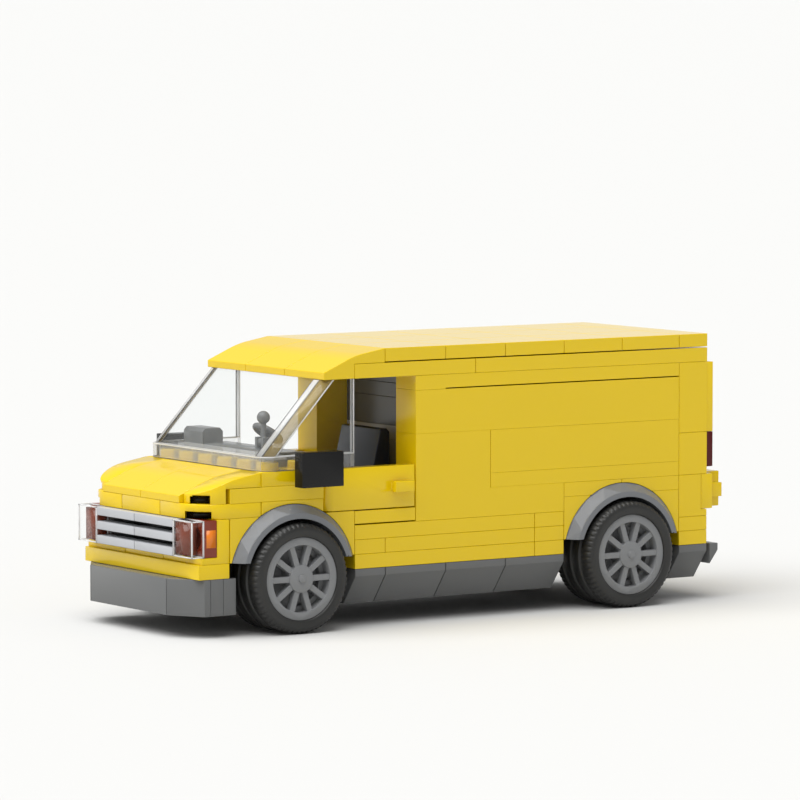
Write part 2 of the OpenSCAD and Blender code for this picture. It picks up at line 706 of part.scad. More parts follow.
// Cab door: a panel with a round front edge on a vertical pin, and a moulded pull near its rear edge
module cab_door() {
  h = door_high - door_low;
  translate([0, 0, door_low]) difference() {
    union() {
      translate([side_x - gap - door_t, hinge_y, 0]) cube([door_t, door_end - hinge_y, h]);
      translate([hinge_x, hinge_y, 0]) cylinder(r = door_knuckle_r, h = h);
      translate([side_x - gap - eps, door_end - 1.4 - handle_l, h / 2 - 1.1]) {
        translate([0, 0.3, 0.4]) cube([1 + eps, 1.4, 1.6]);
        translate([0, handle_l - 1.4, 0.4]) cube([1 + eps, 1.4, 1.6]);
        translate([0.9, 0, 0]) cube([1.3, handle_l, 2.4]);
      }
    }
    translate([hinge_x, hinge_y, -1]) cylinder(r = door_pin_r + run_gap, h = h + 2, $fn = 32);
    translate([side_x - gap - door_t - 2, hinge_y - 4, -1]) cube([2, 4 - 0.1, h + 2]);
  }
}
module left_door() { color(yellow) cab_door(); }
module right_door() { color(yellow) mirror([1, 0, 0]) cab_door(); }

// Hinge pins of the cab doors, held between the sill and the windscreen base
module door_hinge_pins() {
  color(black) both_sides() translate([hinge_x, hinge_y, zs(4)])
    cylinder(r = door_pin_r, h = plate * (window_sill - 4), $fn = 32);
}

// Mirrors -----------------------------------------------------------------------------------

mirror_pin_x = side_x + 2.2;
mirror_y = ys(door_front + 0.53);
mirror_pin_r = 1.1;
mirror_z = zs(window_sill) + 0.5;
arm_z = mirror_z - 3.4;
arm_t = 1.5;
// Black mirror housing with a clip ring round the arm's pin and a shallow recess at the back
module mirror_housing() {
  color(black) difference() {
    union() {
      translate([mirror_pin_x + 0.9, mirror_y - mirror_w / 2, mirror_z - mirror_h / 2])
        cube([mirror_t, mirror_w, mirror_h]);
      translate([mirror_pin_x, mirror_y, arm_z + arm_t + 0.1])
        cylinder(r = mirror_pin_r + 0.95, h = 3.4, $fn = 32);
    }
    translate([mirror_pin_x, mirror_y, arm_z - 5])
      cylinder(r = mirror_pin_r + run_gap, h = 20, $fn = 32);
  }
}
module left_mirror() { mirror_housing(); }
module right_mirror() { mirror([1, 0, 0]) mirror_housing(); }

// Arms that stand out under the window sill, each with an upright pin
module mirror_arms() {
  color(black) both_sides() {
    translate([side_x - gap, mirror_y - 1.3, arm_z]) cube([mirror_pin_x - side_x + gap + 0.2, 2.6, arm_t]);
    translate([mirror_pin_x, mirror_y, arm_z]) cylinder(r = mirror_pin_r, h = arm_t + 3.9, $fn = 32);
  }
}

// Cargo walls -------------------------------------------------------------------------------

panel_seam = cab_rear - 2.5;
groove_h = 0.35;
// Lower wall: an L-shaped panel at the front and a long panel behind it
module cargo_wall_panels() {
  color(yellow) both_sides() {
    difference() {
      union() {
        block(in_stud, half_studs, arch_front, cab_rear, 3, 5);
        block(in_stud, half_studs, panel_seam, cab_rear, 5 - 0.01, 9);
      }
      hollow(in_stud, half_studs, arch_front, cab_rear, 3, 5);
      hollow(in_stud, half_studs, panel_seam, cab_rear, 3, 9);
    }
    stud_field(in_stud, half_studs, arch_front, floor(panel_seam), 5);
    stud_field(in_stud, half_studs, ceil(panel_seam), cab_rear, 9);
    brick(in_stud, half_studs, arch_rear, panel_seam, 5, 9);
  }
}
// Upper wall: a brick row, and a plate row over a fine groove
module cargo_wall_upper() {
  color(yellow) both_sides() {
    brick(in_stud, half_studs, arch_rear, cab_rear, 9, roof_base - 1);
    difference() {
      brick(in_stud, half_studs, arch_rear, cab_rear, roof_base - 1, roof_base);
      translate([side_x - gap - 0.4, ys(cab_rear - 1), zs(roof_base - 1) - eps])
        cube([1, pitch * (cab_rear - 1 - arch_rear), groove_h]);
    }
  }
}
// Yellow pieces round each rear wheel opening
module rear_arch_bricks() {
  color(yellow) both_sides() difference() {
    union() {
      block(in_stud, half_studs, arch_rear, arch_front, 1, 4 - 0.01);
      block(in_stud, half_studs, arch_rear, arch_front, 4, 5);
    }
    wheel_cut(rear_axle_stud, arch_r + gap);
  }
}

crossbar_y0 = ys(0) - plate / 2;
crossbar_z = zs(5) - side_h;
// Cuts the seat of the crossbar into the rear pieces
module crossbar_seat() {
  translate([-xs(4), crossbar_y0 - gap, crossbar_z - gap]) cube([xs(8), pitch, side_h + gap + eps]);
}
// Yellow corner columns beside the rear doors
module rear_columns() {
  color(yellow) both_sides() {
    brick(in_stud, half_studs, 0, arch_rear, 0, 1);
    brick(in_stud, half_studs, 0, arch_rear, 1, 2);
    difference() {
      brick(in_stud, half_studs, 0, arch_rear, 2, 5, studs = false);
      crossbar_seat();
    }
    brick(in_stud, half_studs, 0, arch_rear, 5, 8);
    brick(in_stud, half_studs, 0, arch_rear, 8, roof_base);
  }
}
// Yellow wall under the rear doors, down to the sill
module rear_wall_bricks() {
  color(yellow) {
    brick(-in_stud, in_stud, 0, 1, 0, 1);
    brick(-1, 1, 0, 2, 1, 2);
    both_sides() brick(1, in_stud, 0, 1, 1, 2);
    difference() {
      brick(-in_stud, in_stud, 0, 1, 2, 5, studs = false);
      crossbar_seat();
    }
  }
}
// Yellow plate across the rear that faces backwards
module rear_crossbar() {
  color(yellow) slab(-half_studs, half_studs, crossbar_y0, crossbar_y0 + plate - 0.05, crossbar_z, zs(5));
}
step_y0 = crossbar_y0 + plate;
step_half = half_studs - 0.5;
grab_w = 2.4;
grab_h = 3.2;
// Yellow rear step, with a square grab end at each side
module rear_step() {
  color(yellow) {
    slab(-step_half, step_half, step_y0, ys(0) + step_out, crossbar_z, zs(5));
    translate([-xs(step_half) - grab_w, ys(0) + step_out - grab_h - 1, crossbar_z + (side_h - grab_h) / 2])
      cube([2 * xs(step_half) + 2 * grab_w, grab_h, grab_h]);
  }
}

// Rear doors --------------------------------------------------------------------------------

rear_low = zs(5) + 0.3;
rear_high = zs(roof_base) - 0.3;
rear_knuckle = rear_door_t / 2;
rear_hinge_x = xs(in_stud) - 0.15 - rear_knuckle;
rear_hinge_y = ys(0) - gap - rear_knuckle;
// One rear door: a flat panel, a round hinge edge at the side, and an upright pull by the middle
module rear_door() {
  h = rear_high - rear_low;
  translate([0, 0, rear_low]) difference() {
    union() {
      translate([0.15, ys(0) - gap - rear_door_t, 0]) cube([rear_hinge_x - 0.15, rear_door_t, h]);
      translate([rear_hinge_x, rear_hinge_y, 0]) cylinder(r = rear_knuckle, h = h);
      translate([1.4, ys(0) - gap - eps, h / 2 - 4]) {
        cube([1.4, 1 + eps, 1.4]);
        translate([0, 0, 6.6]) cube([1.4, 1 + eps, 1.4]);
        translate([0, 0.9, 0]) cube([1.4, 1, 8]);
      }
    }
    translate([rear_hinge_x, rear_hinge_y, -1]) cylinder(r = rear_pin_r + run_gap, h = h + 2, $fn = 32);
  }
}
module rear_left_door() { color(yellow) rear_door(); }
module rear_right_door() { color(yellow) mirror([1, 0, 0]) rear_door(); }
module rear_hinge_pins() {
  color(black) both_sides() translate([rear_hinge_x, rear_hinge_y, zs(5)])
    cylinder(r = rear_pin_r, h = plate * (roof_base - 5), $fn = 32);
}

// Lights and tiles on the rear corners
rear_tile_t = 1.6;
module tail_lights() {
  color(dark_red) both_sides()
    slab(in_stud, half_studs, ys(0) - gap, ys(0) + rear_tile_t, zs(5) + 1.6, zs(8) - 0.05);
}
module rear_corner_tiles() {
  color(yellow) both_sides()
    slab(in_stud, half_studs, ys(0) - gap, ys(0) + rear_tile_t, zs(8), zs(roof_base) - 0.1);
}

// Roof --------------------------------------------------------------------------------------

// Yellow plates along the sides and across the roof
module roof_rim_plates() {
  color(yellow) {
    both_sides() {
      brick(in_stud, half_studs, 0, 8, roof_base, roof_base + 1);
      brick(in_stud, half_studs, 8, glass_rear, roof_base, roof_base + 1);
    }
    brick(-in_stud, in_stud, 0, 6, roof_base, roof_base + 1);
    brick(-in_stud, in_stud, 6, glass_rear, roof_base, roof_base + 1);
  }
}
// Smooth roof tiles, two studs wide, and the curved slopes over the windscreen
module roof_panels() {
  color(yellow) for (x = [-half_studs : 2 : half_studs - 2]) {
    brick(x, x + 2, 0, 1, roof_base + 1, roof_base + 2, studs = false);
    for (s = [1 : 2 : glass_rear - 2])
      brick(x, x + 2, s, min(s + 2, glass_rear - 1), roof_base + 1, roof_base + 2, studs = false);
    difference() {
      curved_slope(x, x + 2, door_front, roof_base);
      translate([xs(x) - 1, ys(glass_rear) - gap, zs(roof_base) - 1])
        cube([2 * pitch + 2, pitch * 2, plate + 1 + 0.02]);
      translate([xs(x) + gap + wall, ys(glass_rear) + gap + wall, zs(roof_base) + eps])
        cube([2 * pitch - 2 * gap - 2 * wall, pitch - 2 * gap - 2 * wall, plate + stud_h + 0.15]);
    }
  }
}

// Pieces that repeat at each wheel ----------------------------------------------------------

module front_axle_carrier() { axle_carrier(front_axle_stud); }
module rear_axle_carrier() { axle_carrier(rear_axle_stud); }
module front_left_rim() { rim(front_axle_stud, 1); }
module front_left_tyre() { tyre(front_axle_stud, 1); }
module front_right_rim() { rim(front_axle_stud, -1); }
module front_right_tyre() { tyre(front_axle_stud, -1); }
module rear_left_rim() { rim(rear_axle_stud, 1); }
module rear_left_tyre() { tyre(rear_axle_stud, 1); }
module rear_right_rim() { rim(rear_axle_stud, -1); }
module rear_right_tyre() { tyre(rear_axle_stud, -1); }

// Each piece, drawn by name
chassis_frame();
front_axle_carrier();
rear_axle_carrier();
front_left_rim();
front_left_tyre();
front_right_rim();
front_right_tyre();
rear_left_rim();
rear_left_tyre();
rear_right_rim();
rear_right_tyre();
front_arches();
rear_arches();
wheel_well_liners();
skirt_brackets();
side_skirt_slopes();
front_bumper_plates();
front_bumper_face();
front_bumper_corners();
rear_bumper_slopes();
front_sill_plate();
front_brackets();
grille_tiles();
lamp_plates();
headlight_lenses();
bonnet_base_plates();
bonnet_slopes();
bonnet_corner_slopes();
front_arch_bricks();
side_sill_plates();
cowl_plates();
cab_floor();
cargo_floor();
dashboard();
steering_wheel();
control_lever();
seat();
bulkhead_bricks();
bulkhead_base();
windscreen();
left_door();
right_door();
door_hinge_pins();
left_mirror();
right_mirror();
mirror_arms();
cargo_wall_panels();
cargo_wall_upper();
rear_arch_bricks();
rear_columns();
rear_wall_bricks();
rear_left_door();
rear_right_door();
rear_hinge_pins();
tail_lights();
rear_corner_tiles();
rear_crossbar();
rear_step();
roof_rim_plates();
roof_panels();
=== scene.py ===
# %% [markdown]
# # A toy delivery van built of bricks
# The van is a stack of small moulded pieces on one grid: a stud every 8 mm along and across, and a
# plate every 3.2 mm up. The packed model gives every piece's place; this file gives them their looks:
# fine rounded edges, seams, tyres with tread, clear windows and glossy plastic.

# %% Load the packed model
import json
import math

import bmesh
import bpy
import numpy as np
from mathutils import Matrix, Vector


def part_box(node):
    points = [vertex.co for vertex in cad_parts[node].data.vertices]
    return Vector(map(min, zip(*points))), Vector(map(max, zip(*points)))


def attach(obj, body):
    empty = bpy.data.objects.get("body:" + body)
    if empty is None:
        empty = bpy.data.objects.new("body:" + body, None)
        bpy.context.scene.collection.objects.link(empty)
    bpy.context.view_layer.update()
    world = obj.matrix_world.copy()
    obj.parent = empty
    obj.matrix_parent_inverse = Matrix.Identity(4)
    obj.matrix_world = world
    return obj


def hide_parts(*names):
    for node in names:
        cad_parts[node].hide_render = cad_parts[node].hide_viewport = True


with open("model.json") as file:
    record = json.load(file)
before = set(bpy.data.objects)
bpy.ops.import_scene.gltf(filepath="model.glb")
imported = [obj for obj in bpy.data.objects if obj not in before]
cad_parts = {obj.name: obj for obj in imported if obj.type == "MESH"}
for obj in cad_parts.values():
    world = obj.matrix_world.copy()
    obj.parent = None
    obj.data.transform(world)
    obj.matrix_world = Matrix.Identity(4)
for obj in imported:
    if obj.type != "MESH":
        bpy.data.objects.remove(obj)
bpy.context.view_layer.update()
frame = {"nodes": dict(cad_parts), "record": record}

# %% [markdown]
# ## The grid that every brick sits on
# A builder thinks in studs and plates, not in millimetres, so the places below do too. Two nodes fix
# the grid: the roof's side plates begin at the rear face, and the sill plates begin at the bottom edge.

# %% Studs and plates to millimetres
MM = 0.001
STUD, PLATE = 8.0, 3.2
GAP, TOP_GAP = 0.06, 0.02
HALF, INNER = 3, 2


def node_box(node):
    """Lowest and highest corner of a node, in millimetres."""
    lo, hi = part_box(node)
    return np.array(lo) / MM, np.array(hi) / MM


REAR_Y = node_box("roof_rim_plates")[1][1] + 0.1
SILL_Z = node_box("side_sill_plates")[0][2]
AXLE_Z = node_box("front_left_tyre")[1][2] / 2


def ys(studs):
    """Y of a place counted in studs from the rear face."""
    return REAR_Y - STUD * studs


def zs(plates):
    """Z of a place counted in plates above the bottom edge."""
    return SILL_Z + PLATE * plates


FRONT_AXLE, REAR_AXLE = 14, 3
ROOF_BASE = 13
print("rear face at", round(REAR_Y, 2), "mm, bottom edge at", round(SILL_Z, 2), "mm")

# %% [markdown]
# ## Shader maths as arithmetic
# A node graph is easier to read as a formula. `Socket` wraps one output, and `+`, `-` and `*` on it add
# Math nodes; `Nodes.add` makes any other node from its type, its settings and its inputs.

# %% Sockets that can be added and multiplied
class Socket:
    """One output of a node, with arithmetic."""

    def __init__(self, nodes, output):
        self.nodes, self.output = nodes, output

    def _math(self, operation, first, second):
        return self.nodes.add("ShaderNodeMath", {"operation": operation}, {0: first, 1: second})

    def __add__(self, other):
        return self._math("ADD", self, other)

    __radd__ = __add__

    def __sub__(self, other):
        return self._math("SUBTRACT", self, other)

    def __rsub__(self, other):
        return self._math("SUBTRACT", other, self)

    def __mul__(self, other):
        return self._math("MULTIPLY", self, other)

    __rmul__ = __mul__


print("Socket has", [name for name in vars(Socket) if name.startswith("__r")])


# %% A material's nodes
class Nodes:
    """The node tree of a new material, or of a world, with the shader that its formulas feed."""

    def __init__(self, name, world=None):
        self.material = world or bpy.data.materials.new(name)
        self.material.use_nodes = True
        self.tree = self.material.node_tree
        self.shader = self.tree.nodes["Background" if world else "Principled BSDF"]

    def add(self, kind, settings=None, inputs=None, output=0):
        """A node of a type, with its settings made first, then its sockets' values or links."""
        node = self.tree.nodes.new(kind)
        for key, value in (settings or {}).items():
            if key == "stops":
                ramp = node.color_ramp
                for place, shade in zip(ramp.elements, value):
                    place.position, place.color = shade
            else:
                setattr(node, key, value)
        for key, value in (inputs or {}).items():
            self.put(node.inputs[key], value)
        return Socket(self, node.outputs[output])

    def put(self, target, value):
        """Links a socket, or sets its own value."""
        if isinstance(value, Socket):
            self.tree.links.new(value.output, target)
        else:
            target.default_value = value

    def set(self, **inputs):
        """Puts values or links into the Principled shader."""
        for key, value in inputs.items():
            self.put(self.shader.inputs[key.replace("_", " ")], value)


print("Nodes has", [name for name in vars(Nodes) if not name.startswith("_")])

# %% [markdown]
# ## Moulded plastic
# Injection-moulded bricks are glossy but never perfect: the pigment varies by a hair, handling leaves
# patches that are a little duller, and flat faces have a faint ripple from shrinking in the mould. Three
# noises on Object coordinates do this: a broad one for colour, one for smears, and a fine one for bump.

# %% Plastic materials
PER_M = 1 / MM


def plastic(name, colour, gloss, smear=0.08, tone=0.04, ripple=0.012, shine=0.5):
    """Glossy moulded plastic: a colour, a roughness, and how much both wander."""
    n = Nodes(name)
    place = n.add("ShaderNodeTexCoord", output="Object")
    broad = n.add("ShaderNodeTexNoise", {}, {"Vector": place, "Scale": 0.05 * PER_M, "Detail": 2.0})
    smears = n.add("ShaderNodeTexNoise", {}, {"Vector": place, "Scale": 0.35 * PER_M, "Detail": 5.0})
    fine = n.add("ShaderNodeTexNoise", {}, {"Vector": place, "Scale": 1.6 * PER_M, "Detail": 2.0})
    dark = [c * (1 - tone) for c in colour] + [1.0]
    light = [min(1.0, c * (1 + tone)) for c in colour] + [1.0]
    shade = n.add("ShaderNodeMix", {"data_type": "RGBA"}, {"Factor": broad, 6: dark, 7: light}, output=2)
    n.set(Base_Color=shade, Roughness=gloss + (smears - 0.5) * smear)
    if ripple:
        n.set(Normal=n.add("ShaderNodeBump", {}, {"Strength": 0.35, "Distance": ripple * MM, "Height": fine}))
    n.set(Specular_IOR_Level=shine, IOR=1.5)
    return n.material


print("noises at", [round(scale * PER_M) for scale in (0.05, 0.35, 1.6)], "per metre")


# %% Clear plastic and rubber
def clear(name, colour, body, sheen, tint=(1.0, 1.0, 1.0)):
    """Clear plastic: mostly see-through, with a mirror sheen that grows towards a glancing view.

    body is how much of the colour shows head on, and sheen how much the edge-on view adds."""
    n = Nodes(name)
    place = n.add("ShaderNodeTexCoord", output="Object")
    smears = n.add("ShaderNodeTexNoise", {}, {"Vector": place, "Scale": 0.25 * PER_M, "Detail": 4.0})
    n.set(Base_Color=(*colour, 1.0), Roughness=0.04 + smears * 0.04, Specular_IOR_Level=0.6)
    edge_on = n.add("ShaderNodeLayerWeight", {}, {"Blend": 0.35}, output=0)
    through = n.add("ShaderNodeBsdfTransparent", {}, {"Color": (*tint, 1.0)})
    amount = edge_on * sheen + body
    mixed = n.add("ShaderNodeMixShader", {}, {0: amount, 1: through, 2: Socket(n, n.shader.outputs[0])})
    n.put(n.tree.nodes["Material Output"].inputs["Surface"], mixed)
    return n.material


def rubber(name, colour):
    """Matt tyre rubber, with a fine grain."""
    n = Nodes(name)
    place = n.add("ShaderNodeTexCoord", output="Object")
    dust = n.add("ShaderNodeTexNoise", {}, {"Vector": place, "Scale": 0.3 * PER_M, "Detail": 6.0})
    grain = n.add("ShaderNodeTexNoise", {}, {"Vector": place, "Scale": 6 * PER_M, "Detail": 2.0})
    dark = [c * 0.8 for c in colour] + [1.0]
    light = [c * 1.3 for c in colour] + [1.0]
    shade = n.add("ShaderNodeMix", {"data_type": "RGBA"}, {"Factor": dust, 6: dark, 7: light}, output=2)
    bump = n.add("ShaderNodeBump", {}, {"Strength": 0.4, "Distance": 0.03 * MM, "Height": grain})
    n.set(Base_Color=shade, Roughness=0.34 + dust * 0.15, Normal=bump, Specular_IOR_Level=0.45)
    return n.material


print("recipes:", [recipe.__name__ for recipe in (plastic, clear, rubber)])

# %% The finishes
FINISH = {
    "yellow_plastic": plastic("yellow_plastic", (0.755, 0.525, 0.003), 0.12, ripple=0, smear=0.03,
                              tone=0.015, shine=0.4),
    "dark_grey_plastic": plastic("dark_grey_plastic", (0.128, 0.131, 0.131), 0.22, ripple=0.006, shine=0.35),
    "arch_grey": plastic("arch_grey", (0.17, 0.178, 0.19), 0.26, shine=0.4),
    "light_grey_plastic": plastic("light_grey_plastic", (0.44, 0.45, 0.47), 0.2, ripple=0.006, shine=0.4),
    "wheel_grey": plastic("wheel_grey", (0.20, 0.205, 0.21), 0.3, shine=0.4),
    "black_plastic": plastic("black_plastic", (0.007, 0.007, 0.007), 0.2, ripple=0.006, shine=0.22),
    "navy_plastic": plastic("navy_plastic", (0.014, 0.020, 0.034), 0.25),
    "dark_red_plastic": plastic("dark_red_plastic", (0.075, 0.004, 0.004), 0.15, shine=0.25),
    "orange_clear": clear("orange_clear", (0.26, 0.035, 0.010), 0.75, 0.2, tint=(1.0, 0.3, 0.05)),
    "clear_plastic": clear("clear_plastic", (0.6, 0.61, 0.61), 0.0, 0.09, tint=(0.99, 0.995, 0.995)),
    # painted highlight: near-white strips on the screen's and the lenses' edges stand in for light caught
    # there
    "clear_painted_highlight": clear("clear_painted_highlight", (0.9, 0.9, 0.9), 0.5, 0.25),
    # painted shade: dark grey strips along the screen's edges stand in for the shade seen through them
    "clear_painted_shade": clear("clear_painted_shade", (0.16, 0.16, 0.16), 0.6, 0.3),
    "clear_base": clear("clear_base", (0.75, 0.76, 0.76), 0.08, 0.3),
    # painted reflection: amber strips on the screen's rounded corners stand in for the yellow cab seen
    # through the clear plastic
    "clear_painted_reflection": clear("clear_painted_reflection", (0.42, 0.32, 0.13), 0.5, 0.25),
    # painted shade: a dark red block inside each clear lens stands in for the orange lamp plate seen dimmed
    # through it
    "lens_painted_shade": clear("lens_painted_shade", (0.22, 0.06, 0.035), 0.82, 0.1, tint=(1.0, 0.4, 0.2)),
    # painted glow: a bright orange patch on the lamp plate's side stands in for light coming through it; the
    # toy has no lamp
    "lamp_painted_glow": plastic("lamp_painted_glow", (0.75, 0.20, 0.012), 0.2),
    "tyre_rubber": rubber("tyre_rubber", (0.016, 0.016, 0.015)),
}
SLOT_OF = {s["node"]: s["material_slot"] for s in frame["record"]["subparts"]}
BODY_OF = {n: body for body, group in frame["record"]["behaviour"]["bodies"].items() for n in group}
print(len(FINISH), "finishes")

# %% [markdown]
# ## From arrays to a piece
# Every new piece is a list of (points, faces) in millimetres. `piece` joins them into one mesh, gives it
# a fine rounded edge, and lets it ride on the body of the node that it stands for. A Bevel modifier
# rounds only edges sharper than 30 degrees, so the facets of a curve stay smooth.

# %% Parts into one mesh
def join(parts):
    """One array of points and one list of faces from several."""
    points, faces, start = [], [], 0
    for p, f in parts:
        points.append(np.asarray(p, float).reshape(-1, 3))
        faces += [[start + i for i in face] for face in f]
        start += len(points[-1])
    return np.concatenate(points), faces


def mirrored(parts):
    """The parts and their mirror images across the van's centre plane, still facing outwards."""
    flipped = [(np.asarray(p) * (-1, 1, 1), [face[::-1] for face in f]) for p, f in parts]
    return list(parts) + flipped


print("a pair of parts becomes", len(mirrored([([(1, 0, 0)], [[0]])])), "with its mirror image")

# %% A mesh into a piece
EDGE, EDGE_STEPS, EDGE_ANGLE = 0.13, 2, math.radians(30)


def piece(name, nodes, parts, edge=EDGE, finish=None, flat=False):
    """A visible piece that stands for one or more nodes."""
    points, faces = join(parts)
    mesh = bpy.data.meshes.new(name)
    mesh.from_pydata((points * MM).tolist(), [], faces)
    mesh.validate()
    return dress(name, nodes, mesh, edge, finish, flat)


def dress(name, nodes, mesh, edge, finish=None, flat=False):
    """Gives a mesh its finish, its rounded edge and the body of the node it stands for."""
    if flat:
        mesh.shade_flat()
    else:
        mesh.shade_smooth()
    slot = SLOT_OF[nodes[0]]
    mesh.materials.clear()
    mesh.materials.append(FINISH[finish or slot])
    obj = bpy.data.objects.new(name, mesh)
    bpy.context.scene.collection.objects.link(obj)
    if edge:
        bevel = obj.modifiers.new("rounded edge", "BEVEL")
        bevel.width = edge * MM
        bevel.segments = EDGE_STEPS
        bevel.limit_method = "ANGLE"
        bevel.angle_limit = EDGE_ANGLE
        bevel.use_clamp_overlap = False
        bevel.harden_normals = not flat
    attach(obj, BODY_OF[nodes[0]])
    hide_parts(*nodes)
    return obj


print("edges are rounded by", EDGE, "mm unless a piece says otherwise")

# %% [markdown]
# ## A brick is an outline carried straight
# Almost every piece of the body is a flat outline pushed along one axis: a brick is a rectangle, a curved
# slope is a rectangle with an arc for its top, and a brick over the wheel has an arc cut out of it. So one
# function, `prism`, makes them all.

# %% Prisms and bricks
def prism(outline, axis, lo, hi):
    """Points of an outline at lo and at hi along an axis (0, 1 or 2), with sides and two end faces."""
    flat = np.asarray(outline, float)
    after = np.roll(flat, -1, axis=0)
    turn = np.sum(flat[:, 0] * after[:, 1] - flat[:, 1] * after[:, 0])
    if (turn < 0) != (axis == 1):
        flat = flat[::-1]
    count = len(flat)
    points = np.empty((2, count, 3))
    points[:, :, [a for a in range(3) if a != axis]] = flat
    points[0, :, axis], points[1, :, axis] = lo, hi
    ring = np.arange(count)
    sides = np.stack([ring, np.roll(ring, -1), np.roll(ring, -1) + count, ring + count], 1)
    return points.reshape(-1, 3), sides.tolist() + [ring[::-1].tolist(), (ring + count).tolist()]


def box(x0, x1, y0, y1, z0, z1):
    """A block between limits in millimetres."""
    return prism([(x0, y0), (x1, y0), (x1, y1), (x0, y1)], 2, z0, z1)


def brick(x0, x1, s0, s1, p0, p1, gap=GAP):
    """A brick between limits in studs and plates, with a hair of air round its sides."""
    return box(STUD * x0 + gap, STUD * x1 - gap, ys(s1) + gap, ys(s0) - gap, zs(p0), zs(p1) - TOP_GAP)


def bricks(rows, x0=INNER, x1=HALF):
    """The same row of bricks on both sides; a row is (first stud, last stud, bottom, top)."""
    return mirrored([brick(x0, x1, *row) for row in rows])


def side_prism(outline):
    """An outline of (y, z) points carried across the outer stud column of the left side."""
    return prism(outline, 0, STUD * INNER + GAP, STUD * HALF - GAP)


print("a brick has", len(brick(0, 1, 0, 1, 0, 1)[1]), "faces")

# %% [markdown]
# ## The body's yellow bricks
# Each row is a separate brick on the real van, so each is a separate block here, and the dark hairlines
# between them are real gaps, not paint.

# %% Sill rows
sill_rows = [(5, 6, 0, 1), (6, 12, 0, 1), (5, 6, 1, 2), (6, 11, 1, 2), (11, 12, 1, 2), (5, 6, 2, 3),
             (6, 12, 2, 3)]
door_tile = brick(INNER, HALF, 10, 12, 3.08, 3.97)
piece("side_sill_bricks", ["side_sill_plates"], bricks(sill_rows) + mirrored([door_tile]))
print(len(sill_rows) + 1, "sill pieces a side")

# %% Side walls
PANEL_SEAM = 7.5
lower_panel = [(ys(10) + GAP, zs(3)), (ys(5) - GAP, zs(3)), (ys(5) - GAP, zs(5)),
               (ys(PANEL_SEAM) - GAP, zs(5)), (ys(PANEL_SEAM) - GAP, zs(9)), (ys(10) + GAP, zs(9))]
piece("cargo_wall_lower", ["cargo_wall_panels"],
      mirrored([side_prism(lower_panel)]) + bricks([(1, PANEL_SEAM, 5, 6), (1, PANEL_SEAM, 6, 9)]), edge=0.06)
NOTCH = 0.24
top_row = [(ys(10) + GAP, zs(12)), (ys(9), zs(12)), (ys(9), zs(12) + NOTCH), (ys(1) - GAP, zs(12) + NOTCH),
           (ys(1) - GAP, zs(13) - TOP_GAP), (ys(10) + GAP, zs(13) - TOP_GAP)]
piece("cargo_wall_top", ["cargo_wall_upper"], bricks([(1, 10, 9, 12)]) + mirrored([side_prism(top_row)]),
      edge=0.06)
print("side panel", round(ys(5) - ys(10)), "mm long, notch over it", NOTCH, "mm high")

# %% Rear columns, rear wall and bulkhead
BAR_Y, BAR_Z = (node_box("rear_crossbar")[0][a] - 0.1 for a in (1, 2))
under_bar = [(ys(1) + GAP, zs(2)), (ys(0) - GAP, zs(2)), (ys(0) - GAP, BAR_Z), (BAR_Y, BAR_Z),
             (BAR_Y, zs(5) - TOP_GAP), (ys(1) + GAP, zs(5) - TOP_GAP)]
piece("rear_column_bricks", ["rear_columns"],
      bricks([(0, 1, 0, 1), (0, 1, 1, 2), (0, 1, 5, 8), (0, 1, 8, 13)]) + mirrored([side_prism(under_bar)]))
piece("rear_wall", ["rear_wall_bricks"],
      [brick(-2, 2, 0, 1, 0, 1), brick(-1, 1, 0, 2, 1, 2),
       prism(under_bar, 0, GAP - STUD * INNER, STUD * INNER - GAP)]
      + mirrored([brick(1, 2, 0, 1, 1, 2)]))
piece("bulkhead_rows", ["bulkhead_bricks"],
      [brick(-2, 2, 8, 9, low, high) for low, high in ((9, 11), (11, 12), (12, 13))])
piece("bulkhead_base_rows", ["bulkhead_base"],
      [brick(-2, 2, 8, 9, low, high) for low, high in ((2, 5), (5, 8), (8, 9))])
print("rear bar from y", round(BAR_Y, 2), "mm, its underside at", round(BAR_Z, 2), "mm")

# %% Bricks round the wheel openings
ARCH_R = node_box("front_arches")[1][2] - AXLE_Z
ARCH_CUT = ARCH_R + 0.1
ARCH_SAMPLES, THINNEST = 49, 0.1


def beside_arch(axle, s0, s1, p0, p1):
    """A brick over or beside a wheel: its rectangle less the wheel's round opening, as one outline.

    For every Y the underside is the higher of the brick's own bottom and the circle's top there."""
    y = np.linspace(ys(s1) + GAP, ys(s0) - GAP, ARCH_SAMPLES)
    reach = np.clip(ARCH_CUT ** 2 - (y - ys(axle)) ** 2, 0, None)
    under = np.maximum(zs(p0), AXLE_Z + np.sqrt(reach))
    keep = under < zs(p1) - THINNEST
    y, under = y[keep], under[keep]
    top = zs(p1) - TOP_GAP
    return side_prism(np.concatenate([np.stack([y, under], 1), [(y[-1], top), (y[0], top)]]))


rear_arch = [beside_arch(REAR_AXLE, 1, 3, 4, 5), beside_arch(REAR_AXLE, 3, 5, 4, 5)]
piece("bricks_over_rear_wheels", ["rear_arch_bricks"],
      mirrored(rear_arch + [beside_arch(REAR_AXLE, REAR_AXLE + 1, 5, 1, 4),
                            beside_arch(REAR_AXLE, 1, REAR_AXLE - 1, 1, 4)]), edge=0.08)
front_arch = [beside_arch(FRONT_AXLE, 12, FRONT_AXLE - 1, 1, 4),
              beside_arch(FRONT_AXLE, FRONT_AXLE + 1, 16, 1, 4)]
piece("bricks_over_front_wheels", ["front_arch_bricks"],
      mirrored(front_arch + [brick(INNER, HALF, 13, 16, 5, 6)]), edge=0.08)
print("wheel openings", round(2 * ARCH_CUT, 2), "mm across")

# %% [markdown]
# ## Curved slopes
# A curved slope rises two plates over two studs: a steep run from its thin lip, a bend, and a gentle run
# to its high end. The bend is a quadratic Bezier curve between a point on each run.

# %% Curved slopes, and the bonnet
LIP = 1.6
RUN, RISE = 2 * STUD, 2 * PLATE - LIP
BEND = np.array([0.5 * RUN, LIP + 0.71 * RISE])
REACH = 0.3


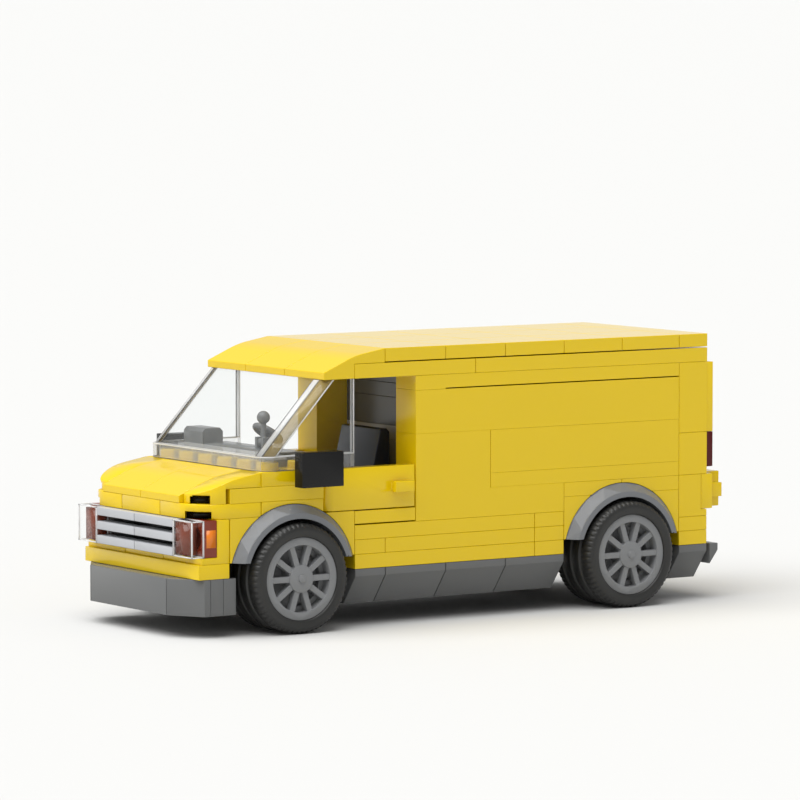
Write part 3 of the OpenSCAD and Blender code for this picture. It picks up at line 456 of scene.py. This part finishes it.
def slope_top(z0, s_lip, steps=10):
    """The top of a curved slope, from its lip to its high end, as (y, z) points."""
    low, high = np.array([0, LIP]), np.array([RUN, 2 * PLATE])
    first, last = BEND + (low - BEND) * REACH, BEND + (high - BEND) * REACH
    t = np.linspace(0, 1, steps + 1)[:, None]
    curve = (1 - t) ** 2 * first + 2 * t * (1 - t) * BEND + t ** 2 * last
    run = np.concatenate([[low], curve, [high]])
    return np.stack([ys(s_lip) + GAP + run[:, 0] * (RUN - 2 * GAP) / RUN, z0 + run[:, 1]], 1)


def curved_slope(x0, x1, s_lip, p):
    """A curved slope between two columns, with its lip at a stud and its base at a plate."""
    top = slope_top(zs(p), s_lip)
    foot = zs(p) + TOP_GAP
    outline = np.concatenate([[(top[0, 0], foot)], top, [(top[-1, 0], foot)]])
    return prism(outline, 0, STUD * x0 + GAP, STUD * x1 - GAP)


piece("bonnet", ["bonnet_slopes"], [curved_slope(-2, 0, 17, 5), curved_slope(0, 2, 17, 5)])
print("a slope rises", round(RISE, 2), "mm over", RUN, "mm")

# %% Roof
ROOF_COLUMNS, TILE_FOOT, TILE_TOP = (-3, -1, 1), 14.07, 15
roof = [brick(x, x + 2, s, s + 2, TILE_FOOT, TILE_TOP) for x in ROOF_COLUMNS for s in (1, 3, 5, 7, 9)]
roof += [brick(x, x + 2, 0, 1, TILE_FOOT, TILE_TOP) for x in ROOF_COLUMNS]


def roof_front(x):
    """A curved slope over the windscreen, whose rear half sits on the roof plates."""
    top = slope_top(zs(ROOF_BASE), 13)
    step, low = zs(ROOF_BASE + 1) + TOP_GAP, zs(ROOF_BASE) + TOP_GAP
    foot = [(top[-1, 0], step), (ys(12), step), (ys(12), low), (top[0, 0], low)]
    return prism(np.concatenate([top, foot]), 0, STUD * x + GAP, STUD * (x + 2) - GAP)


piece("roof_tiles", ["roof_panels"], roof + [roof_front(x) for x in ROOF_COLUMNS])
piece("roof_plates", ["roof_rim_plates"],
      bricks([(0, 8, 13, 14), (8, 12, 13, 14)])
      + [brick(-2, 2, 0, 6, 13, 14), brick(-2, 2, 6, 12, 13, 14)])
print(len(roof), "roof tiles, top at", round(zs(TILE_TOP) - TOP_GAP, 2), "mm")

# %% [markdown]
# ## Single pieces that keep their shape
# Where a node is one moulding, its shape is already right and only its edges are too sharp. A copy of its
# mesh is merged, its flat faces are joined up again, and the rounded edge goes on.

# %% Rounded copies
FLAT_ANGLE = math.radians(1)


def rounded(name, node, edge=EDGE):
    """A copy of a node's mesh with its loose triangles merged into faces, and its edges rounded."""
    mesh = frame["nodes"][node].data.copy()
    work = bmesh.new()
    work.from_mesh(mesh)
    bmesh.ops.remove_doubles(work, verts=work.verts, dist=0.002 * MM)
    bmesh.ops.dissolve_degenerate(work, edges=work.edges, dist=0.001 * MM)
    bmesh.ops.dissolve_limit(work, angle_limit=FLAT_ANGLE, verts=work.verts, edges=work.edges)
    work.to_mesh(mesh)
    work.free()
    return dress(name, [node], mesh, edge)


ONE_PIECE = ["front_sill_plate", "front_brackets", "grille_tiles", "lamp_plates", "headlight_lenses",
             "bonnet_base_plates", "bonnet_corner_slopes", "cowl_plates", "cab_floor", "cargo_floor",
             "dashboard", "steering_wheel", "control_lever", "seat", "left_door", "right_door",
             "left_mirror", "right_mirror", "mirror_arms", "rear_left_door", "rear_right_door",
             "tail_lights", "rear_corner_tiles",
             "rear_crossbar", "rear_step", "front_bumper_plates", "front_bumper_face",
             "front_bumper_corners", "rear_bumper_slopes", "side_skirt_slopes", "skirt_brackets",
             "wheel_well_liners", "chassis_frame", "front_axle_carrier", "rear_axle_carrier",
             "door_hinge_pins", "rear_hinge_pins"]
for node in ONE_PIECE:
    rounded(node + "_moulding", node)
print(len(ONE_PIECE), "mouldings with rounded edges")

# %% [markdown]
# ## Windscreen
# The screen is a wall that runs round three sides of the cab with rounded corners. Its front leans back,
# so its plan is drawn twice, at the foot and at the head, and the two are joined by straight faces. Clear
# plastic shows its thickness only where it is seen edge on, so thin strips are painted along its edges:
# near-white strips are painted highlights, dark grey strips are painted shade, and amber strips on the
# rounded corners are a painted reflection of the yellow cab seen through the plastic.

# %% A wall round three sides
CORNER = 3.6


def three_sides(half, front, rear, radius, steps=8):
    """Plan of a wall from the left rear corner round the front to the right rear corner."""
    turn = np.radians(np.linspace(0, 90, steps + 1))
    corner = np.stack([half - radius + radius * np.cos(turn), front + radius - radius * np.sin(turn)], 1)
    left = np.concatenate([[(half, rear)], corner])
    return np.concatenate([left, left[::-1] * (-1, 1)])


def leaning_wall(half, rear, foot, head, z0, z1, thick):
    """A wall round three sides whose front goes from one Y at its foot to another at its head."""
    plans = []
    for inset in (0, thick):
        for front, z in ((foot, z0), (head, z1)):
            plan = three_sides(half - inset, front + inset, rear, CORNER - inset)
            plans.append(np.column_stack([plan, np.full(len(plan), z)]))
    n = len(plans[0])
    a = np.arange(n - 1)
    b = a + 1
    low, high, in_low, in_high = 0, n, 2 * n, 3 * n
    sides = [np.stack([b + low, a + low, a + high, b + high], 1),
             np.stack([a + in_low, b + in_low, b + in_high, a + in_high], 1),
             np.stack([a + low, b + low, b + in_low, a + in_low], 1),
             np.stack([b + high, a + high, a + in_high, b + in_high], 1)]
    ends = [[low, in_low, in_high, high], [low + n - 1, high + n - 1, in_high + n - 1, in_low + n - 1]]
    return np.concatenate(plans), np.concatenate(sides).tolist() + ends


def post(x, y, radius, z0, z1, steps=20):
    """An upright round post."""
    turn = np.linspace(0, 2 * np.pi, steps, endpoint=False)
    return prism(np.stack([x + radius * np.cos(turn), y + radius * np.sin(turn)], 1), 2, z0, z1)


print("a round post has", len(post(0, 0, 1, 0, 1)[1]), "faces")

# %% Panes and base
SIDE = STUD * HALF - 0.1
PANE, BASE_WALL = 1.2, 1.4
SCREEN_REAR, BASE_FRONT = ys(12) - 0.1, ys(15) + 0.1
FOOT_AHEAD, HEAD_AHEAD = 23.2, 8.4
FOOT, HEAD = SCREEN_REAR - FOOT_AHEAD, SCREEN_REAR - HEAD_AHEAD
EDGE_LINE = 0.3
BASE_FOOT, BASE_TOP = zs(7) + TOP_GAP, zs(8) - TOP_GAP
SHELF_DEPTH, SHELF_FOOT, POST_R = 7.2, zs(8) - 0.9, 1.5
tall = zs(8) + TOP_GAP, zs(13) - 0.05
panes = leaning_wall(SIDE, SCREEN_REAR - EDGE_LINE, FOOT, HEAD, *tall, PANE)
piece("windscreen_panes", ["windscreen"], [panes], edge=0, flat=True)
base = leaning_wall(SIDE, SCREEN_REAR, BASE_FRONT, BASE_FRONT, BASE_FOOT, BASE_TOP, BASE_WALL)
shelf = box(BASE_WALL - SIDE, SIDE - BASE_WALL, BASE_FRONT + BASE_WALL, BASE_FRONT + SHELF_DEPTH,
            SHELF_FOOT, BASE_TOP)
posts = [post(STUD * x, ys(14.5), POST_R, BASE_FOOT, SHELF_FOOT) for x in (-2, -1, 0, 1, 2)]
piece("windscreen_base", ["windscreen"], [base, shelf] + posts, edge=0, flat=True, finish="clear_base")
lean = math.degrees(math.atan2(HEAD - FOOT, tall[1] - tall[0]))
print("the screen leans back", round(lean, 1), "degrees")


# %% Painted highlights and painted dark lines of the screen
STRIP_OUT, STRIP_IN = 0.02, 0.25
ABOVE = 0.01


def corner_strip(start, end, steps=4):
    """A strip of a rounded corner, between two angles from the side towards the front."""
    turn = np.radians(np.linspace(start, end, steps + 1))
    rows = []
    for front, z in zip((FOOT, HEAD), tall):
        for r in (CORNER + STRIP_OUT, CORNER - STRIP_IN):
            rows.append(np.column_stack([SIDE - CORNER + r * np.cos(turn),
                                         front + CORNER - r * np.sin(turn), np.full(steps + 1, z)]))
    n = steps + 1
    a = np.arange(steps)
    b = a + 1
    faces = [np.stack([b, a, a + 2 * n, b + 2 * n], 1), np.stack([a + n, b + n, b + 3 * n, a + 3 * n], 1),
             np.stack([a, b, b + n, a + n], 1), np.stack([b + 2 * n, a + 2 * n, a + 3 * n, b + 3 * n], 1)]
    ends = [[0, n, 3 * n, 2 * n], [steps, 2 * n + steps, 3 * n + steps, n + steps]]
    return np.concatenate(rows), np.concatenate(faces).tolist() + ends


def base_line(low, high):
    """A thin line round the outside of the screen's base, between two heights."""
    front = BASE_FRONT - ABOVE
    return leaning_wall(SIDE + ABOVE, SCREEN_REAR, front, front, low, high, EDGE_LINE)


# painted highlights: bright strips at the panes' rear edges, along the side panes' foot and on the corners
bright = [box(SIDE - PANE, SIDE, SCREEN_REAR - EDGE_LINE, SCREEN_REAR, *tall),
          box(SIDE - PANE, SIDE + ABOVE, FOOT + CORNER, SCREEN_REAR, zs(8) - 0.03, zs(8) + 0.1),
          corner_strip(60, 84), corner_strip(6, 12)]
# painted highlight: a bright line along the foot of the front pane, and one round the top of the base
foot_line = box(CORNER - SIDE, SIDE - CORNER, FOOT - 0.05, FOOT + 0.25, zs(8), zs(8) + 0.14)
piece("windscreen_painted_highlights", ["windscreen"],
      mirrored(bright) + [base_line(zs(8) - 0.25, zs(8) - ABOVE), foot_line], edge=0, finish="clear_painted_highlight")
# painted shade: dark lines beside the panes' rear edges, on the corners and round the foot of the base
dark = [box(SIDE - 0.2, SIDE + ABOVE, SCREEN_REAR - EDGE_LINE - 0.18, SCREEN_REAR - EDGE_LINE, *tall),
        corner_strip(84, 88), corner_strip(56, 60)]
piece("windscreen_painted_shade_lines", ["windscreen"], mirrored(dark) + [base_line(BASE_FOOT, zs(7) + 0.14)],
      edge=0, finish="clear_painted_shade")
# painted reflection of the yellow cab on the rounded corners of the screen
piece("windscreen_painted_corner_reflections", ["windscreen"], mirrored([corner_strip(12, 56)]), edge=0, finish="clear_painted_reflection")
print(2 * len(bright) + 2, "bright lines and", 2 * len(dark) + 1, "dark ones")

# %% [markdown]
# ## Wheel arches
# An arch is a plain ring with a lip, and round it a bevel cut into flat facets. The facets are triangles:
# the bevel's outer corners and its inner corners are half a step apart.

# %% Arches with a faceted bevel
ARCH_IN, ARCH_LIP, SINK = 12.9, 14.2, 0.4
ARCH_FACE = node_box("front_arches")[1][0]
ARCH_FOOT = zs(1) - AXLE_Z
FACETS, RING_STEPS = 8, 64


def arch_loop(axle, rings, steps, shift):
    """Rings of (x, radius) from one foot of an arch to the other, joined in a closed loop.

    shift says which rings have their inner points moved on by half a step."""
    points = []
    for (x, radius), moved in zip(rings, shift):
        place = np.arange(steps + 1, dtype=float)
        if moved:
            place[1:-1] += 0.5
        first = math.asin(ARCH_FOOT / radius)
        angle = first + (math.pi - 2 * first) * place / steps
        points.append(np.column_stack([np.full(steps + 1, x), ys(axle) + radius * np.cos(angle),
                                       AXLE_Z + radius * np.sin(angle)]))
    foot = np.arange(len(rings)) * (steps + 1)
    here = foot[:, None] + np.arange(steps)
    there = np.roll(here, -1, axis=0)
    faces = np.stack([here, here + 1, there, here + 1, there + 1, there], -1).reshape(-1, 3)
    return np.concatenate(points), faces.tolist() + [foot.tolist(), (foot[::-1] + steps).tolist()]


def arch(axle):
    """The lip ring and the faceted bevel of one arch."""
    back = STUD * INNER + 0.1
    body = STUD * HALF + 0.02
    lip_ring = arch_loop(axle, [(back, ARCH_IN), (back, ARCH_R), (body, ARCH_R), (body, ARCH_LIP),
                                (ARCH_FACE, ARCH_LIP), (ARCH_FACE, ARCH_IN)], RING_STEPS, (False,) * 6)
    bevel = arch_loop(axle, [(back, ARCH_LIP - SINK), (back, ARCH_R), (STUD * HALF, ARCH_R),
                             (ARCH_FACE - 0.03, ARCH_LIP), (ARCH_FACE - 0.2, ARCH_LIP - SINK)],
                      FACETS, (False, False, False, True, True))
    return lip_ring, bevel


for end, axle in (("front", FRONT_AXLE), ("rear", REAR_AXLE)):
    lip_ring, bevel = arch(axle)
    piece(f"{end}_arch_lips", [f"{end}_arches"], mirrored([lip_ring]), edge=0.1)
    piece(f"{end}_arch_bevels", [f"{end}_arches"], mirrored([bevel]), edge=0, flat=True)
print("each arch has", FACETS, "facets between radii", ARCH_LIP, "and", round(ARCH_R, 2), "mm")

# %% [markdown]
# ## Small accents
# Black is painted behind the slots of the grille and of the corner pieces as painted shade. A clear lens
# shows painted highlights along its edges and a dark red block inside as painted shade, and the lamp
# behind it has a painted glow on its side where light comes out of it.

# %% Painted shade in the slots of the grille and of the corner pieces
GRILLE_FRONT, GRILLE_FOOT = node_box("grille_tiles")[0][1:]
SLOT, SLOT_DEPTH, BACK = 1.3, PLATE, 0.2
BAR = (STUD - 2 * SLOT) / 3
WIDE = 2 * STUD
# painted shade: thin black sheets at the back of the grille's slots, where there is only shade
slots = [box(x + GAP, x + WIDE - GAP, GRILLE_FRONT + SLOT_DEPTH, GRILLE_FRONT + SLOT_DEPTH + BACK,
             z, z + SLOT) for x in (-WIDE, 0)
         for z in (GRILLE_FOOT + BAR, GRILLE_FOOT + 2 * BAR + SLOT)]
piece("grille_slots", ["grille_tiles"], slots, edge=0, finish="black_plastic")


def slot_painted_shade(plate, start, end):
    """Painted shade: black behind the slot that is cut across a rounded corner piece, from start to end along
    it.
    """
    centre = np.array([STUD * INNER, ys(16)])
    out, along = np.array([1, -1]) / math.sqrt(2), np.array([1, 1]) / math.sqrt(2)
    inner, outer = 5.4, 5.84
    corners = [centre + out * r + along * a
               for r, a in ((inner, start), (outer, start), (outer, end), (inner, end))]
    return prism(corners, 2, zs(plate) + 0.03, zs(plate) + 1.58)


# painted shade: black sheets in the slots of the rounded corner pieces
piece("low_corner_slots", ["bonnet_base_plates"], mirrored([slot_painted_shade(4, -4, 2)]), edge=0,
      finish="black_plastic")
piece("high_corner_slots", ["bonnet_corner_slopes"], mirrored([slot_painted_shade(5, -3, 1)]), edge=0,
      finish="black_plastic")
print(len(slots), "slots", SLOT, "mm high between bars of", round(BAR, 2), "mm")


# %% Painted highlights on the lens edges, painted shade in the lenses, and painted glow on the lamps
def edge_bars(low, high, width):
    """The twelve edges of a block, as thin square bars."""
    bars = []
    for axis in range(3):
        others = [a for a in range(3) if a != axis]
        for first in (0, 1):
            for second in (0, 1):
                start, end = list(low), list(high)
                for a, pick in zip(others, (first, second)):
                    start[a], end[a] = (high[a] - width, high[a]) if pick else (low[a], low[a] + width)
                bars.append(box(start[0], end[0], start[1], end[1], start[2], end[2]))
    return bars


lens_lo, lens_hi = node_box("headlight_lenses")
# painted highlights: near-white bars along the twelve edges of each clear lens
lens_highlight_bars = edge_bars((STUD * INNER + 0.1, lens_lo[1] - 0.01, lens_lo[2]), tuple(lens_hi + 0.01), 0.28)
piece("lens_painted_highlights", ["headlight_lenses"], mirrored(lens_highlight_bars), edge=0, finish="clear_painted_highlight")
# painted shade: a dark red block inside the clear lens, where the lamp plate behind shows dimmed
lens_shade_block = box(STUD * INNER + 0.5, STUD * INNER + 5.3, lens_lo[1] + 0.45, lens_hi[1] - 0.3,
              lens_lo[2] + 0.5, lens_hi[2] - 0.5)
piece("lens_painted_shade_fillings", ["headlight_lenses"], mirrored([lens_shade_block]), edge=0, finish="lens_painted_shade")
lamp_lo, lamp_hi = node_box("lamp_plates")
mid, glow_half = (lamp_lo[2] + lamp_hi[2]) / 2, 1.9
# painted glow: a bright orange patch on the side of each lamp plate, where light comes through it
painted_glow = box(lamp_hi[0] - 0.3, lamp_hi[0] + 0.02, lamp_lo[1] + 0.5, lamp_hi[1] - 0.3, mid - glow_half,
           mid + glow_half)
piece("lamp_painted_glow_patches", ["lamp_plates"], mirrored([painted_glow]), edge=0, finish="lamp_painted_glow")
print(len(lens_highlight_bars), "edge lines on each lens")

# %% [markdown]
# ## Wheels
# A lathe shape is a profile turned round the axle. The tyre's radius also depends on the angle, because
# its shoulders are cut into blocks, so the whole tyre is one function of two parameters: place across the
# tread, and angle.

# %% Turned shapes
def turned(profile, steps, side, axle, teeth=None):
    """A closed profile of (radius, distance from the wheel's inner face), turned round the axle.

    teeth(angle, distance, radius) takes some radius away, as an array."""
    profile = np.asarray(profile, float)
    if side < 0:
        profile = profile[::-1]
    angle = np.linspace(0, 2 * np.pi, steps, endpoint=False)[:, None]
    radius, along = profile[None, :, 0], profile[None, :, 1]
    if teeth is not None:
        radius = radius - teeth(angle, along, radius)
    x = np.broadcast_to(side * (WHEEL_IN + along), (steps, len(profile)))
    points = np.stack([x, ys(axle) + radius * np.cos(angle), AXLE_Z + radius * np.sin(angle)], -1)
    row, col = np.arange(steps)[:, None] * len(profile), np.arange(len(profile))
    next_row, next_col = np.roll(row, -1, axis=0), np.roll(col, -1)
    faces = np.stack([row + col, row + next_col, next_row + next_col, next_row + col], -1)
    return points.reshape(-1, 3), faces.reshape(-1, 4).tolist()


lo, hi = node_box("front_left_tyre")
TYRE_R, TYRE_W, WHEEL_IN = (hi[2] - lo[2]) / 2, hi[0] - lo[0], lo[0]
print("tyre", round(2 * TYRE_R, 2), "mm across and", round(TYRE_W, 2), "mm wide")

# %% Tyres and rims
RIM_R, BLOCKS, STEPS_PER_BLOCK = 9.0, 60, 8
TREAD_DEPTH, SHOULDER = 0.3, 5.4


def tread(angle, along, radius):
    """How deep the tread is cut: short fine notches round the outer edges of both shoulders."""
    saw = np.abs((angle * BLOCKS / (2 * np.pi)) % 1 - 0.5) * 2
    slot = np.clip((saw - 0.5) / 0.2, 0, 1)
    edge = np.clip((np.abs(along - TYRE_W / 2) - SHOULDER) / 0.2, 0, 1)
    high = np.clip((radius - TYRE_R + 0.6) / 0.3, 0, 1)
    return TREAD_DEPTH * slot * edge * high


def tyre_profile():
    """The tyre's section: bead, flat side wall, rounded shoulder, and four ribs between three grooves."""
    groove_at = [3.7, 7.0, 10.3]
    half, slope, depth = 0.28, 0.12, 0.9
    side = [(RIM_R, 0.5), (RIM_R + 0.15, 0.2), (RIM_R + 0.5, 0.05), (TYRE_R - 1.4, 0.0),
            (TYRE_R - 1.15, 0.04), (TYRE_R - 0.75, 0.22), (TYRE_R - 0.35, 0.55), (TYRE_R - 0.1, 0.95),
            (TYRE_R, 1.5)]
    middle = []
    for g in groove_at:
        middle += [(TYRE_R, g - half - slope - 0.15), (TYRE_R - 0.06, g - half - slope),
                   (TYRE_R - depth, g - half), (TYRE_R - depth, g + half),
                   (TYRE_R - 0.06, g + half + slope), (TYRE_R, g + half + slope + 0.15)]
    other = [(r, TYRE_W - a) for r, a in side[::-1]]
    inner = [(RIM_R - 0.02, TYRE_W - 1.5), (RIM_R - 0.02, 1.5)]
    return np.array(side + middle + other + inner)[::-1]


for end, axle in (("front", FRONT_AXLE), ("rear", REAR_AXLE)):
    for hand, side in (("left", 1), ("right", -1)):
        tyre = turned(tyre_profile(), BLOCKS * STEPS_PER_BLOCK, side, axle, tread)
        piece(f"{end}_{hand}_tyre_tread", [f"{end}_{hand}_tyre"], [tyre], edge=0)
        rounded(f"{end}_{hand}_wheel", f"{end}_{hand}_rim", edge=0.1)
print("a tyre has", len(tyre[0]), "points")

# %% [markdown]
# ## Floor, light and camera
# A pale floor that reaches to the horizon, a sky brightest low down, and one wide sun high up and ahead
# of the van: the roof is brightest, then the nose, then the side, and the ground shadow is soft and falls
# behind.

# %% Floor
FAR = 9e4
floor_mesh = bpy.data.meshes.new("floor")
points, faces = box(-FAR, FAR, -FAR, FAR, -20, 0)
floor_mesh.from_pydata((points * MM).tolist(), [], faces)
floor = bpy.data.objects.new("floor", floor_mesh)
bpy.context.scene.collection.objects.link(floor)
paper = Nodes("paper")
paper.set(Base_Color=(0.61, 0.61, 0.60, 1.0), Roughness=0.9, Specular_IOR_Level=0.1)
floor_mesh.materials.append(paper.material)
print("floor", round(2 * FAR * MM), "m across")

# %% Sun and sky
sun_data = bpy.data.lights.new("sun", "SUN")
sun_data.energy, sun_data.angle = 3.9, math.radians(70)
sun = bpy.data.objects.new("sun", sun_data)
bpy.context.scene.collection.objects.link(sun)
sun.rotation_euler = Vector((0.04, -0.36, 0.9)).to_track_quat("Z", "Y").to_euler()
world = bpy.data.worlds.new("sky")
bpy.context.scene.world = world
sky = Nodes("sky", world)
direction = sky.add("ShaderNodeTexCoord", output="Generated")
height = sky.add("ShaderNodeSeparateXYZ", {}, {"Vector": direction}, output="Z")
band = sky.add("ShaderNodeMapRange", {}, {"Value": height, "From Min": 0.08, "From Max": 0.3,
                                         "To Min": 0.75, "To Max": 0.45})
sky.set(Color=(1.0, 1.0, 1.0, 1.0), Strength=band)
bpy.context.scene.view_settings.view_transform = "Standard"
print("sun of", round(sun_data.energy, 2), "W per square metre,", round(math.degrees(sun_data.angle)),
      "degrees wide")

# %% Camera
camera_data = bpy.data.cameras.new("camera")
camera_data.lens = 237.1
camera_data.clip_start, camera_data.clip_end = 0.05, 200
camera = bpy.data.objects.new("camera", camera_data)
bpy.context.scene.collection.objects.link(camera)
camera.location = (0.9778, -0.6563, 0.1398)
camera.rotation_euler = (math.radians(90 - 4.51), 0, math.radians(56.2))
bpy.context.scene.camera = camera
print("camera", round(Vector(camera.location).length, 2), "m from the origin")
